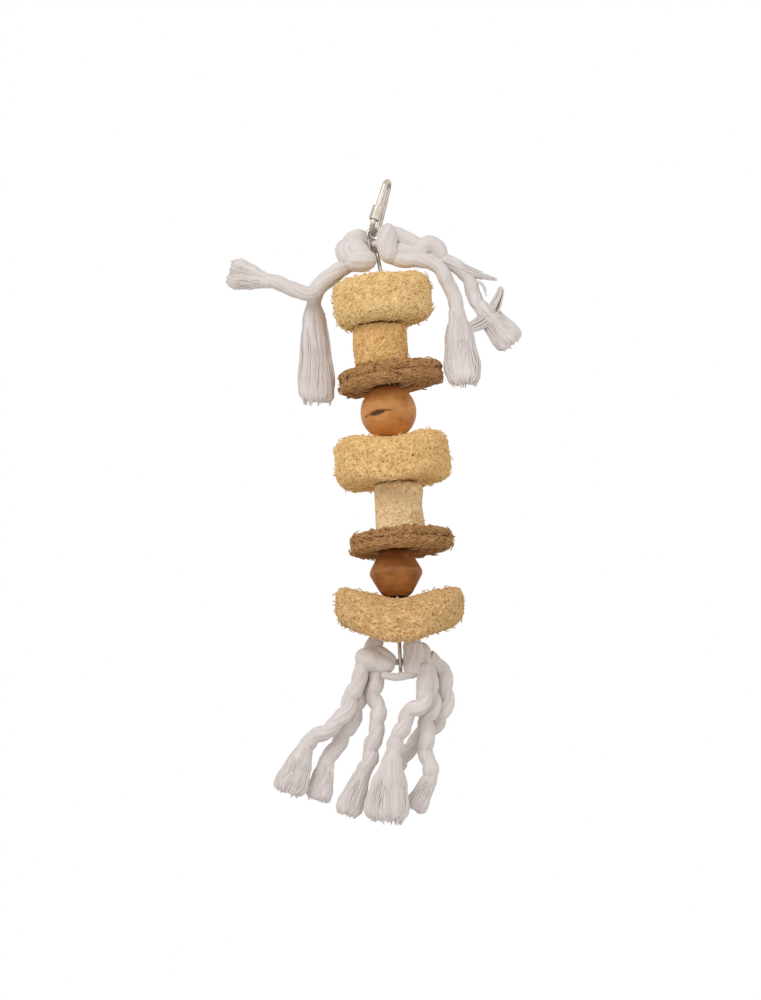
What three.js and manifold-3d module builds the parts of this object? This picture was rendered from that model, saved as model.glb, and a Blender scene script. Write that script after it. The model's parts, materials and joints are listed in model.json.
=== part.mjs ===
// A hanging toy for cage birds: loofah slices and tubes, fibre discs and balls threaded on a steel chain,
// with cotton rope knotted through the chain's top and bottom links and a quick link to hang it by.
// Millimetres, +Z up. The origin is the hang point, inside the top of the quick link. -Y faces the viewer.
import * as THREE from 'three';
import { mergeVertices } from 'three/addons/utils/BufferGeometryUtils.js';
import Module from 'manifold-3d';

// Clearances
const GAP = 0.3;
const SEAT_CLEARANCE = 1.2;

// Quick link: a pear of round bar, narrow at the top, with a hexagonal sleeve nut on its near leg
const BAR = 3;
const PEAR_LENGTH = 31.6;
const PEAR_TOP_BEND = 3.2;
const PEAR_BOW = 5.4;
const PEAR_LEAN = 18;
const PEAR_YAW = -16;
const MOUTH = 5;
const NUT_LENGTH = 8;
const NUT_ACROSS_FLATS = 5.2;

// Chain
const WIRE = 2;
const EYE_WIDTH = 4.2;
const EYE_LENGTH = 12.9;
const END_EYE_LENGTH = 18.3;
const LINK_COUNT = 18;
const CHAIN_LEAN = 8;
const HOLE_CLEARANCE = 0.7;

// Threaded loofah and fibre. Each piece's middle lies off its hole by the offset. A bend lifts its left and
// right ends, and a droop lowers its front beyond the flat middle.
const STRAIGHT = { bend: 0, droop: 0, flat: 0 };
const STACK_TOP = -50;
const TOP_SLICE = { diameter: 50.4, height: 23.4, edge: 6, tilt: -4, offset: 0, ...STRAIGHT };
const TOP_TUBE = { diameter: 27.5, height: 21.4, edge: 1.5, tilt: 0, offset: -2.2, ...STRAIGHT };
const TOP_DISC = { diameter: 53, height: 8.8, edge: 2.2, tilt: -5.3, offset: 2.2, ...STRAIGHT };
const MIDDLE_SLICE_CURL = { bend: 0, droop: 4.4, flat: 16 };
const MIDDLE_SLICE = { diameter: 59, height: 23.8, edge: 6, tilt: -2.5, offset: 0.7, ...MIDDLE_SLICE_CURL };
const MIDDLE_TUBE = { diameter: 24.5, height: 25.8, edge: 1.5, tilt: 0, offset: 2.9, ...STRAIGHT };
const MIDDLE_DISC = { diameter: 52, height: 8.2, edge: 2.2, tilt: -1.8, offset: 3.6, ...STRAIGHT };
const BOTTOM_SLICE_CURL = { bend: 4.5, droop: 13.5, flat: 0 };
const BOTTOM_SLICE = { diameter: 66, height: 18.6, edge: 6, tilt: 2.5, offset: 1, ...BOTTOM_SLICE_CURL };

// Balls, and the radius of the dish that each one presses into its neighbours
const ROUND_BALL = 29.1;
const ROUND_BALL_DISH = 8;
const BEVELLED_BALL = 27.5;
const BEVELLED_BALL_HEIGHT = 28.2;
const BEVELLED_BALL_RIDGE = 1.6;
const BEVELLED_BALL_DISH = 10;
// Each bevel corner's step in from the ridge and its drop below the ball's end
const BEVELLED_BALL_CORNERS = [{ inset: 3.4, drop: 7 }, { inset: 5.6, drop: 3.4 }];
const BEVELLED_BALL_END_DROP = 1;

// Cotton rope
const ROPE = 7.2;
const KNOT_ROLL = 9.4;
const SMALL_KNOT_ROLL = 8.4;
const SQUEEZED_ROPE = 3.4;
const FLAT_STRAND = 5;
// A frayed end's outline, in shares of its half width and its length, and its depth as a share of its width
const FRAY_OUTLINE = [[0.75, 0.35], [1, 0.75], [0.8, 1]];
const FRAY_DEPTH = 0.5;
// The length and width of each frayed end, tail by tail
const TOP_FRAYS = [[20, 15.5], [46, 19], [37, 19.5], [29, 16]];
const BOTTOM_FRAYS = [[25, 18], [18, 13], [27, 13], [33.5, 22], [13, 9.5], [18, 11]];
const STEP = 7;

const radians = THREE.MathUtils.degToRad;
const point = (x, y, z) => new THREE.Vector3(x, y, z);

const wasm = await Module();
wasm.setup();

const STEEL = new THREE.MeshStandardMaterial({ color: '#b9b2a6', roughness: 0.3, metalness: 1 });
const LOOFAH = new THREE.MeshStandardMaterial({ color: '#e0bb80', roughness: 0.95, metalness: 0 });
const FIBRE = new THREE.MeshStandardMaterial({ color: '#8f6a45', roughness: 0.95, metalness: 0 });
const PALE_WOOD = new THREE.MeshStandardMaterial({ color: '#b5763a', roughness: 0.6, metalness: 0 });
const DARK_WOOD = new THREE.MeshStandardMaterial({ color: '#8c5a32', roughness: 0.6, metalness: 0 });
const COTTON = new THREE.MeshStandardMaterial({ color: '#ddd6d2', roughness: 0.95, metalness: 0 });

// A geometry with its shared corners merged, as a solid that can be joined and cut.
function toSolid(geometry) {
  const bare = geometry.clone();
  bare.deleteAttribute('normal');
  bare.deleteAttribute('uv');
  const merged = mergeVertices(bare, 1e-4);
  const mesh = new wasm.Mesh({
    numProp: 3,
    vertProperties: new Float32Array(merged.attributes.position.array),
    triVerts: new Uint32Array(merged.index.array),
  });
  return new wasm.Manifold(mesh);
}

function toGeometry(solid) {
  const mesh = solid.getMesh();
  const geometry = new THREE.BufferGeometry();
  geometry.setAttribute('position', new THREE.BufferAttribute(new Float32Array(mesh.vertProperties), 3));
  geometry.setIndex(new THREE.BufferAttribute(new Uint32Array(mesh.triVerts), 1));
  geometry.computeVertexNormals();
  return geometry;
}

function join(geometries) {
  return toGeometry(geometries.map(toSolid).reduce((whole, next) => whole.add(next)));
}

function named(name, geometry, material) {
  const mesh = new THREE.Mesh(geometry, material);
  mesh.name = name;
  return mesh;
}

// A round bar or rope of one diameter along a smooth curve through the given points.
function roundBar(points, diameter, steps, sides = 8) {
  const section = new THREE.Shape();
  for (let side = 0; side < sides; side += 1) {
    const angle = (2 * Math.PI * side) / sides;
    const corner = [(diameter / 2) * Math.cos(angle), (diameter / 2) * Math.sin(angle)];
    if (side === 0) section.moveTo(...corner);
    else section.lineTo(...corner);
  }
  section.closePath();
  const extrudePath = new THREE.CatmullRomCurve3(points, false, 'centripetal');
  return new THREE.ExtrudeGeometry(section, { extrudePath, steps });
}

// A turned ring about Z from a closed outline of [radius, height] points that runs anticlockwise.
function turned(outline, segments) {
  const profile = [...outline, outline[0]].map(([radius, height]) => new THREE.Vector2(radius, height));
  return new THREE.LatheGeometry(profile, segments).rotateX(Math.PI / 2);
}

const assembly = new THREE.Group();

// Quick link. Its outline lies in its own YZ plane, with the inside of the top bend at the origin.
const pearTopCentre = -(PEAR_TOP_BEND - BAR / 2);
const pearSpan = PEAR_LENGTH - BAR - PEAR_TOP_BEND - PEAR_BOW;
const pearBowCentre = pearTopCentre - pearSpan;
const legSlope = Math.asin((PEAR_BOW - PEAR_TOP_BEND) / pearSpan);
const bowBar = pearBowCentre - PEAR_BOW;

// Points of an arc in the YZ plane, with angles counted from +Y towards +Z.
function arc(centreZ, radius, from, to, count) {
  const points = [];
  for (let index = 0; index <= count; index += 1) {
    const angle = from + ((to - from) * index) / count;
    points.push(point(0, radius * Math.cos(angle), centreZ + radius * Math.sin(angle)));
  }
  return points;
}

const legFoot = arc(pearBowCentre, PEAR_BOW, Math.PI - legSlope, Math.PI - legSlope, 1)[0];
const legHead = arc(pearTopCentre, PEAR_TOP_BEND, Math.PI - legSlope, Math.PI - legSlope, 1)[0];
const legAxis = legHead.clone().sub(legFoot).normalize();
const nutFoot = legFoot.clone().addScaledVector(legAxis, GAP);
const mouthFoot = nutFoot.clone().addScaledVector(legAxis, (NUT_LENGTH - MOUTH) / 2);
const mouthHead = mouthFoot.clone().addScaledVector(legAxis, MOUTH);

const pearRoute = [
  mouthFoot,
  legFoot.clone().lerp(mouthFoot, 0.3),
  ...arc(pearBowCentre, PEAR_BOW, Math.PI - legSlope + 0.15, 2 * Math.PI + legSlope, 12),
  ...arc(pearTopCentre, PEAR_TOP_BEND, legSlope, Math.PI - legSlope, 8),
  legHead.clone().lerp(mouthHead, 0.5),
  mouthHead,
];
const quickLink = named('quick_link', roundBar(pearRoute, BAR, 36), STEEL);

const hexagon = new THREE.Shape();
for (let corner = 0; corner < 6; corner += 1) {
  const angle = radians(60 * corner);
  const reach = NUT_ACROSS_FLATS / Math.sqrt(3);
  if (corner === 0) hexagon.moveTo(reach, 0);
  else hexagon.lineTo(reach * Math.cos(angle), reach * Math.sin(angle));
}
hexagon.closePath();
const nutBore = new THREE.Path();
nutBore.absarc(0, 0, BAR / 2 + GAP, 0, 2 * Math.PI, true);
hexagon.holes.push(nutBore);
const nutShape = new THREE.ExtrudeGeometry(hexagon, {
  depth: NUT_LENGTH,
  bevelEnabled: false,
  curveSegments: 6,
});
const sleeveNut = named('sleeve_nut', nutShape, STEEL);
sleeveNut.position.copy(nutFoot);
sleeveNut.quaternion.setFromUnitVectors(point(0, 0, 1), legAxis);

const pearTurn = new THREE.Group();
pearTurn.rotation.z = radians(PEAR_YAW);
pearTurn.add(quickLink, sleeveNut);
const pear = new THREE.Group();
pear.rotation.y = radians(PEAR_LEAN);
pear.add(pearTurn);
assembly.add(pear);

// Chain. Each link is a ring stretched along Z; its neighbour stands a quarter turn round from it.
const linkHalf = EYE_LENGTH / 2 + WIRE / 2;
const pitch = EYE_LENGTH - GAP;

function chainLink(index, eyeLength) {
  const steps = 10;
  const ring = (EYE_WIDTH + WIRE) / 2 / Math.cos(Math.PI / steps);
  const geometry = new THREE.TorusGeometry(ring, WIRE / 2, 6, steps);
  geometry.rotateZ(Math.PI / steps).rotateX(Math.PI / 2);
  const stretch = (eyeLength - EYE_WIDTH) / 2;
  const position = geometry.attributes.position;
  for (let corner = 0; corner < position.count; corner += 1) {
    position.setZ(corner, position.getZ(corner) + Math.sign(position.getZ(corner)) * stretch);
  }
  const link = named(`chain_link_${String(index).padStart(2, '0')}`, geometry, STEEL);
  link.rotation.z = index % 2 === 0 ? Math.PI / 2 : 0;
  return link;
}

// The first two links lean from the quick link's bow to the spine that the stack hangs on.
const bowPoint = point(0, 0, bowBar).applyAxisAngle(point(0, 1, 0), radians(PEAR_LEAN));
const lead = new THREE.Group();
lead.position.copy(bowPoint);
lead.rotation.y = radians(-CHAIN_LEAN);
const firstLink = BAR / 2 + GAP + WIRE / 2 - linkHalf;
for (let index = 1; index <= 2; index += 1) {
  const link = chainLink(index, EYE_LENGTH);
  link.position.z = firstLink - (index - 1) * pitch;
  lead.add(link);
}
assembly.add(lead);

const leadFoot = point(0, 0, firstLink - pitch - linkHalf);
leadFoot.applyAxisAngle(point(0, 1, 0), radians(-CHAIN_LEAN)).add(bowPoint);
const spine = new THREE.Group();
spine.position.x = leadFoot.x;
assembly.add(spine);
const thirdLink = leadFoot.z + WIRE + GAP - linkHalf;
for (let index = 3; index < LINK_COUNT; index += 1) {
  const link = chainLink(index, EYE_LENGTH);
  link.position.z = thirdLink - (index - 3) * pitch;
  spine.add(link);
}

// The last link is longer, so that the rope's knots hang clear of the bottom slice.
const endReach = (END_EYE_LENGTH - EYE_LENGTH) / 2;
const endLink = chainLink(LINK_COUNT, END_EYE_LENGTH);
endLink.position.z = thirdLink - (LINK_COUNT - 3) * pitch - endReach;
spine.add(endLink);

// Stack. A hole clears the chain at the piece's tilt, and a dish takes the ball above or below it.
function holeRadius(piece) {
  const sway = (piece.height / 2) * Math.sin(radians(Math.abs(piece.tilt)));
  return EYE_WIDTH / 2 + WIRE + HOLE_CLEARANCE + sway;
}

// Height from a dish's rim to the middle of the ball that sits in it.
function ballRise(ballReach, dish) {
  return Math.sqrt((ballReach + SEAT_CLEARANCE) ** 2 - dish ** 2);
}

// Outline points of a dish, from the hole out to the rim, for a face at height zero.
function dishArc(ballReach, dish, hole) {
  const reach = ballReach + SEAT_CLEARANCE;
  const steps = 3;
  const from = Math.asin(hole / reach);
  const to = Math.asin(dish / reach);
  const points = [];
  for (let index = 0; index <= steps; index += 1) {
    const angle = from + ((to - from) * index) / steps;
    points.push([reach * Math.sin(angle), ballRise(ballReach, dish) - reach * Math.cos(angle)]);
  }
  return points;
}

// A quarter round of the outer edge, centred on the given point.
function edgeArc(radius, height, edge, from) {
  const steps = edge > 4 ? 4 : 2;
  const points = [];
  for (let index = 0; index <= steps; index += 1) {
    const angle = from + ((Math.PI / 2) * index) / steps;
    points.push([radius + edge * Math.cos(angle), height + edge * Math.sin(angle)]);
  }
  return points;
}

// Outline of a threaded disc or tube, with an optional ball dish in its top and bottom faces.
function discOutline(piece, topDish, bottomDish) {
  const hole = holeRadius(piece);
  const half = piece.height / 2;
  const rim = piece.diameter / 2 - piece.edge;
  const under = bottomDish ? dishArc(...bottomDish, hole) : [[hole, 0]];
  const over = topDish ? dishArc(...topDish, hole) : [[hole, 0]];
  const middle = (rim + under.at(-1)[0]) / 2;
  return [
    ...under.map(([radius, height]) => [radius, -half - height]),
    [middle, -half],
    ...edgeArc(rim, -half + piece.edge, piece.edge, -Math.PI / 2),
    ...edgeArc(rim, half - piece.edge, piece.edge, 0),
    [middle, half],
    ...over.map(([radius, height]) => [radius, half + height]).reverse(),
  ];
}

// A threaded piece, turned about its hole and then pushed off its middle and bent.
function threadedShape(piece, segments, topDish, bottomDish) {
  const geometry = turned(discOutline(piece, topDish, bottomDish), segments);
  const radius = piece.diameter / 2;
  const corners = geometry.attributes.position;
  for (let corner = 0; corner < corners.count; corner += 1) {
    const sideways = corners.getX(corner);
    const forwards = corners.getY(corner);
    const out = Math.hypot(sideways, forwards) / radius;
    const drooping = Math.max(0, -forwards - piece.flat) / (radius - piece.flat);
    const rise = piece.bend * (sideways / radius) ** 2 - piece.droop * drooping ** 2;
    corners.setX(corner, sideways + piece.offset * out ** 3);
    corners.setZ(corner, corners.getZ(corner) + rise);
  }
  return geometry;
}

// How far a piece's edge reaches from its hole as it turns.
function edgeReach(piece) {
  return piece.diameter / 2 + Math.abs(piece.offset);
}

let level = STACK_TOP;

// Hangs a piece under the last one. The contact radius is where its tilted faces meet its neighbours.
function thread(name, piece, geometry, material, topContact, bottomContact) {
  const mesh = named(name, geometry, material);
  const slope = Math.sin(radians(Math.abs(piece.tilt)));
  mesh.position.z = level - topContact * slope - piece.height / 2;
  mesh.rotation.y = radians(piece.tilt);
  level = mesh.position.z - piece.height / 2 - bottomContact * slope - GAP;
  spine.add(mesh);
}

function threadBall(name, geometry, material, rise) {
  const mesh = named(name, geometry, material);
  level += GAP;
  mesh.position.z = level - rise;
  level = mesh.position.z - rise;
  spine.add(mesh);
}

const roundBallDish = [ROUND_BALL / 2, ROUND_BALL_DISH];
const bevelledBallDish = [BEVELLED_BALL_HEIGHT / 2, BEVELLED_BALL_DISH];
const ballHole = EYE_WIDTH / 2 + WIRE + HOLE_CLEARANCE;

const topSliceShape = threadedShape(TOP_SLICE, 24);
thread('loofah_slice_top', TOP_SLICE, topSliceShape, LOOFAH, 0, edgeReach(TOP_TUBE));

const topTubeShape = threadedShape(TOP_TUBE, 20);
thread('loofah_tube_top', TOP_TUBE, topTubeShape, LOOFAH, 0, 0);

const topDiscShape = threadedShape(TOP_DISC, 24, null, roundBallDish);
thread('fibre_disc_top', TOP_DISC, topDiscShape, FIBRE, edgeReach(TOP_TUBE), 0);

const roundBallOutline = [];
const roundBallFrom = Math.asin((2 * ballHole) / ROUND_BALL);
const roundBallSteps = 10;
for (let index = 0; index <= roundBallSteps; index += 1) {
  const angle = roundBallFrom + ((Math.PI - 2 * roundBallFrom) * index) / roundBallSteps;
  roundBallOutline.push([(ROUND_BALL / 2) * Math.sin(angle), (-ROUND_BALL / 2) * Math.cos(angle)]);
}
const roundBallShape = turned(roundBallOutline, 20);
threadBall('round_ball', roundBallShape, PALE_WOOD, ballRise(...roundBallDish));

const middleSliceShape = threadedShape(MIDDLE_SLICE, 24, roundBallDish);
thread('loofah_slice_middle', MIDDLE_SLICE, middleSliceShape, LOOFAH, 0, edgeReach(MIDDLE_TUBE));

const middleTubeShape = threadedShape(MIDDLE_TUBE, 20);
thread('loofah_tube_middle', MIDDLE_TUBE, middleTubeShape, LOOFAH, 0, 0);

const middleDiscShape = threadedShape(MIDDLE_DISC, 24, null, bevelledBallDish);
thread('fibre_disc_middle', MIDDLE_DISC, middleDiscShape, FIBRE, edgeReach(MIDDLE_TUBE), 0);

// Two flat cones that meet in a ridge at the equator, with rounded ends.
const bevelHalf = BEVELLED_BALL_HEIGHT / 2;
const bevelUpper = [
  [BEVELLED_BALL / 2, BEVELLED_BALL_RIDGE / 2],
  ...BEVELLED_BALL_CORNERS.map(({ inset, drop }) => [BEVELLED_BALL / 2 - inset, bevelHalf - drop]),
  [ballHole, bevelHalf - BEVELLED_BALL_END_DROP],
];
const bevelLower = bevelUpper.map(([radius, height]) => [radius, -height]).reverse();
const bevelledBallShape = turned([...bevelLower, ...bevelUpper], 24);
threadBall('bevelled_ball', bevelledBallShape, DARK_WOOD, ballRise(...bevelledBallDish));

const bottomSliceShape = threadedShape(BOTTOM_SLICE, 24, bevelledBallDish);
thread('loofah_slice_bottom', BOTTOM_SLICE, bottomSliceShape, LOOFAH, 0, 0);

// Ropes. A knot is a few rolls of rope pressed together; each tail leaves it by a short straight stub.
function roll(points, diameter) {
  const length = new THREE.CatmullRomCurve3(points).getLength();
  const body = roundBar(points, diameter, Math.max(2, Math.round(length / STEP)));
  const ends = [points[0], points.at(-1)].map((end) => {
    return new THREE.SphereGeometry(diameter / 2, 6, 4).translate(end.x, end.y, end.z);
  });
  return [body, ...ends];
}

// A frayed end: loose strands that spread from the rope's own width, flatter from front to back.
function fray(start, direction, length, width) {
  const spread = FRAY_OUTLINE.map(([out, along]) => [(out * width) / 2, along * length]);
  const outline = [[0, 0], [ROPE / 2, 0], ...spread, [0, length]];
  const profile = outline.map(([radius, height]) => new THREE.Vector2(radius, height));
  const geometry = new THREE.LatheGeometry(profile, 10);
  const position = geometry.attributes.position;
  for (let corner = 0; corner < position.count; corner += 1) {
    const share = Math.max(0, position.getY(corner) / length);
    position.setZ(corner, position.getZ(corner) * (1 - (1 - FRAY_DEPTH) * Math.min(1, 2 * share)));
  }
  const across = new THREE.Vector3().crossVectors(direction, point(0, 1, 0)).normalize();
  const depth = new THREE.Vector3().crossVectors(across, direction);
  geometry.applyMatrix4(new THREE.Matrix4().makeBasis(across, direction, depth).setPosition(start));
  return geometry;
}

// A tail's route starts inside its knot; its stub ends at the second point, where the free rope begins.
function stub(route) {
  return roundBar(route.slice(0, 2), ROPE, 2);
}

function addTail(rope, label, route, frayLength, frayWidth) {
  const [root, exit, ...rest] = route;
  const leaving = exit.clone().sub(root).normalize();
  const start = exit.clone().addScaledVector(leaving, GAP);
  const points = [start, exit.clone().addScaledVector(leaving, ROPE / 2), ...rest];
  const curve = new THREE.CatmullRomCurve3(points, false, 'centripetal');
  const steps = Math.round(curve.getLength() / STEP);
  rope.add(named(`${label}_tail`, roundBar(points, ROPE, steps), COTTON));
  const heading = curve.getTangentAt(1);
  const frayStart = curve.getPointAt(1).addScaledVector(heading, GAP);
  rope.add(named(`${label}_fray`, fray(frayStart, heading, frayLength, frayWidth), COTTON));
}

// The top rope counts from the middle of what its neighbours leave of the first link's eye.
const topRope = new THREE.Group();
topRope.position.set(0, 0, (firstLink + linkHalf - pitch - BAR / 2 - GAP) / 2);
topRope.position.applyAxisAngle(point(0, 1, 0), radians(-CHAIN_LEAN)).add(bowPoint);
assembly.add(topRope);

const topLeftOut = [
  point(-14.1, -1, -10.4), point(-22.6, -3.6, -17), point(-29, -4, -22.6), point(-35.8, -4, -25.4),
  point(-41.9, -4, -23.4), point(-47.9, -3, -19.8), point(-53.4, -2, -17.3), point(-57.5, -2, -15.9),
];
const topLeftDown = [
  point(-13.9, 0.5, -9.5), point(-20.2, 3.6, -14.4), point(-27.4, 4.6, -20.4), point(-32, 7.5, -26.2),
  point(-33.1, 10, -30.4), point(-33.2, 10, -32.5),
];
const topRightDown = [
  point(9.3, -5, -8.1), point(13.8, -5.5, -11.2), point(19.9, -5.5, -11.9), point(27.8, -5, -13.8),
  point(33.8, -5, -22.2), point(37.6, -5, -29.8), point(40.2, -5.5, -35.4), point(41.1, -6, -40.2),
];
const topRightOut = [
  point(30.9, -1, -7.4), point(36.9, -1, -11.1), point(43.4, -1, -14.5), point(48, -1, -20.2),
  point(50.5, -1, -27.7), point(53.9, -1, -32.7),
];

const topLeftKnot = join([
  ...roll([point(-1.4, 6.8, 0.5), point(-5.4, 6.2, 2.5), point(-10.9, 3, 3), point(-15.4, 0, -0.5),
    point(-15.9, -1.5, -6.5)], KNOT_ROLL),
  ...roll([point(-15.9, -1.5, -6.5), point(-13.9, -3.5, -9.8), point(-8.9, -5.5, -10.5),
    point(-5.4, -5.8, -10)], KNOT_ROLL),
  ...roll([point(-11.8, -2.5, -1), point(-9, -3.4, -4.4)], KNOT_ROLL),
  stub(topLeftOut),
  stub(topLeftDown),
]);
topRope.add(named('top_left_knot', topLeftKnot, COTTON));

// The right half of the top rope: squeezed through the first link's eye, then a roll and a small knot.
const topRightKnot = join([
  roundBar([point(0, 1.6, 0), point(0, -4, 0), point(6.1, -6.2, -0.5)], SQUEEZED_ROPE, 6),
  ...roll([point(6.1, -6.2, 5.1), point(6.5, -6.2, -0.5), point(6.3, -6.2, -7)], KNOT_ROLL),
  ...roll([point(7.1, -5.5, 4), point(14.1, -4, 3), point(19.1, -2.5, 0), point(24.1, -2, -1.5)], ROPE),
  ...roll([point(14.1, -4, -2.8), point(19.1, -3.4, -4.6), point(24.8, -2.4, -5.4)], ROPE),
  ...roll([point(24.9, -2, -1.7), point(32.1, -1, -7.9)], SMALL_KNOT_ROLL),
  ...roll([point(31.7, 0.6, -1.7), point(26.1, 1, -8.7)], SMALL_KNOT_ROLL),
  stub(topRightDown),
  stub(topRightOut),
]);
topRope.add(named('top_right_knot', topRightKnot, COTTON));

addTail(topRope, 'top_left_out', topLeftOut, ...TOP_FRAYS[0]);
addTail(topRope, 'top_left_down', topLeftDown, ...TOP_FRAYS[1]);
addTail(topRope, 'top_right_down', topRightDown, ...TOP_FRAYS[2]);
addTail(topRope, 'top_right_out', topRightOut, ...TOP_FRAYS[3]);

// The bottom rope counts from half a plain link above the last link's foot.
const bottomRope = new THREE.Group();
bottomRope.position.set(leadFoot.x, 0, endLink.position.z - endReach);
assembly.add(bottomRope);

const bottomLeft = [
  [point(-19.5, -3, -4.3), point(-22.3, -4.5, -11.8), point(-25, -5, -18.4), point(-28.8, -5, -25.6),
    point(-33.1, -5, -32.1), point(-39.6, -5, -36.6), point(-45.6, -4.5, -39.9), point(-50.1, -4, -44),
    point(-51.6, -4, -46.9)],
  [point(-17.2, 1.5, -3), point(-19.9, 4, -12.1), point(-21.9, 4.5, -18.5), point(-23.8, 4.5, -25.1),
    point(-27, 4.5, -32.3), point(-31.7, 4.5, -39.5), point(-36.4, 4, -46), point(-40.8, 3.5, -52.5),
    point(-42.2, 3, -56.3)],
  [point(-11.8, -1, -4.4), point(-13.2, 0, -11.5), point(-14.3, 0, -19.6), point(-12.9, 0, -27.1),
    point(-12.8, 0, -33.7), point(-15.6, 0, -41), point(-16.7, 0, -47.6), point(-18.1, 0, -53.4),
    point(-21.1, 0, -58.8)],
];
const bottomRight = [
  [point(10.8, -4, -5.9), point(11.9, -6, -12.9), point(12.2, -7, -19.8), point(9.1, -7, -26.3),
    point(3.8, -7, -30.1), point(0.4, -7, -34.4), point(-1.4, -7, -39.8), point(-4.5, -7, -45.6),
    point(-6.6, -7, -50.7), point(-7.1, -7, -54)],
  [point(13.1, 1, -3), point(14.9, 1, -12), point(15.8, 1, -19.4), point(15.3, 1, -26.8),
    point(12.4, 1, -33.3), point(11.5, 1, -39.9), point(11.8, 1, -46.6), point(10.9, 1, -52.5),
    point(13.1, 1, -58.1), point(13.6, 1.5, -62.9), point(10.8, 2.5, -67.7), point(8.6, 3, -70.5)],
  [point(14.7, 2, 0), point(19.9, 5, -4.5), point(22.7, 6, -12.3), point(23, 7, -20.3),
    point(21.5, 8, -27.4), point(18.2, 9, -33), point(12.9, 9.5, -36.8), point(6.8, 10, -42),
    point(2.2, 10, -46.9), point(-1.7, 10, -51.5)],
];

const bottomLeftKnot = join([
  roundBar([point(-8.6, -1, -1.9), point(-2 * WIRE, 0, -WIRE), point(WIRE, 0, -WIRE)], SQUEEZED_ROPE, 6),
  ...roll([point(-8.6, -3, -1.9), point(-12.6, -4, 0.1), point(-19, -2, 1.3)], KNOT_ROLL),
  ...roll([point(-15.6, 3, 0.1), point(-13.6, 2, 7.1), point(-11.1, 0, 8.7), point(-9.6, -2, 5.1)], ROPE),
  ...bottomLeft.map(stub),
]);
bottomRope.add(named('bottom_left_knot', bottomLeftKnot, COTTON));

const bottomRightKnot = join([
  ...roll([point(5.4, -3.6, 4.7), point(5.7, -4.2, -0.9), point(6.2, -3.6, -6.9)], SMALL_KNOT_ROLL),
  ...roll([point(11.4, 1, 3.5), point(12.4, 1, -1.9), point(12.4, 0, -6.9)], SMALL_KNOT_ROLL),
  ...roll([point(6.6, -4.5, -9.5), point(1.8, -6, -11.6), point(-4.1, -6.4, -11.3),
    point(-7.3, -6.4, -10.6)], FLAT_STRAND),
  ...bottomRight.map(stub),
]);
bottomRope.add(named('bottom_right_knot', bottomRightKnot, COTTON));

[...bottomLeft, ...bottomRight].forEach((route, index) => {
  addTail(bottomRope, `bottom_${index + 1}`, route, ...BOTTOM_FRAYS[index]);
});

export default assembly;
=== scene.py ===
import json
import math
import random

import bmesh
import bpy
from mathutils import Matrix, Quaternion, Vector, noise
from mathutils.bvhtree import BVHTree


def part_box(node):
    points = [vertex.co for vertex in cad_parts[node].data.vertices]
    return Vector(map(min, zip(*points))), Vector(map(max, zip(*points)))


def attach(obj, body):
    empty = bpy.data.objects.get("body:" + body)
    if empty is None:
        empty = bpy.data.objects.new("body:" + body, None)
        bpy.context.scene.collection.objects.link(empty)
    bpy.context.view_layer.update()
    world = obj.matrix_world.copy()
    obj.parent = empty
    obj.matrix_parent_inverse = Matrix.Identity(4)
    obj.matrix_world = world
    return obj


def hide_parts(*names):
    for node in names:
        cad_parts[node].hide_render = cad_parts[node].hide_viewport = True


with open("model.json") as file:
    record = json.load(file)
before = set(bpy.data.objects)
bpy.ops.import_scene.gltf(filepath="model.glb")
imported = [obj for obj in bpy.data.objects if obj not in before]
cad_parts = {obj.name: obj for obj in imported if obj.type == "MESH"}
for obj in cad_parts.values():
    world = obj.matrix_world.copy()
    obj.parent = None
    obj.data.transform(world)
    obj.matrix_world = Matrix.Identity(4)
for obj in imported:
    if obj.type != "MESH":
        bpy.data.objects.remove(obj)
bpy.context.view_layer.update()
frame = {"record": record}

# Camera and studio. The toy hangs free and is seen from a little below, far off with a long lens, so the
# undersides of its slices and discs show. The camera is turned a little, as the toy hangs in the picture.
MM = 0.001
view_centre = Vector((-11.2, 0, -166.4)) * MM
view_height = 520 * MM
view_distance = 5
view_elevation = math.radians(-9)
view_roll = math.radians(2.7)

camera_data = bpy.data.cameras.new("camera")
camera_data.lens = camera_data.sensor_width * view_distance / view_height
camera = bpy.data.objects.new("camera", camera_data)
bpy.context.scene.collection.objects.link(camera)
backwards = Vector((0, -math.cos(view_elevation), math.sin(view_elevation)))
camera.location = view_centre + backwards * view_distance
camera.rotation_mode = "QUATERNION"
camera.rotation_quaternion = (-backwards).to_track_quat("-Z", "Y") @ Quaternion((0, 0, 1), -view_roll)
bpy.context.scene.camera = camera
bpy.context.scene.view_settings.view_transform = "Standard"


def linear(hex_colour):
    """An sRGB hex colour as the linear RGBA that a shader socket takes."""
    shares = [int(hex_colour[place:place + 2], 16) / 255 for place in (1, 3, 5)]
    return [s / 12.92 if s <= 0.04045 else ((s + 0.055) / 1.055) ** 2.4 for s in shares] + [1]


def add_node(tree, kind, inputs, **settings):
    """Adds a node, sets its properties, and sets or links each input that is named."""
    made = tree.nodes.new(kind)
    for key, value in settings.items():
        setattr(made, key, value)
    for key, value in inputs.items():
        if isinstance(value, bpy.types.NodeSocket):
            tree.links.new(value, made.inputs[key])
        else:
            made.inputs[key].default_value = value
    return made


def add_object(name, data):
    """A new object in the scene that holds the given data."""
    made = bpy.data.objects.new(name, data)
    bpy.context.scene.collection.objects.link(made)
    return made


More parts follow.
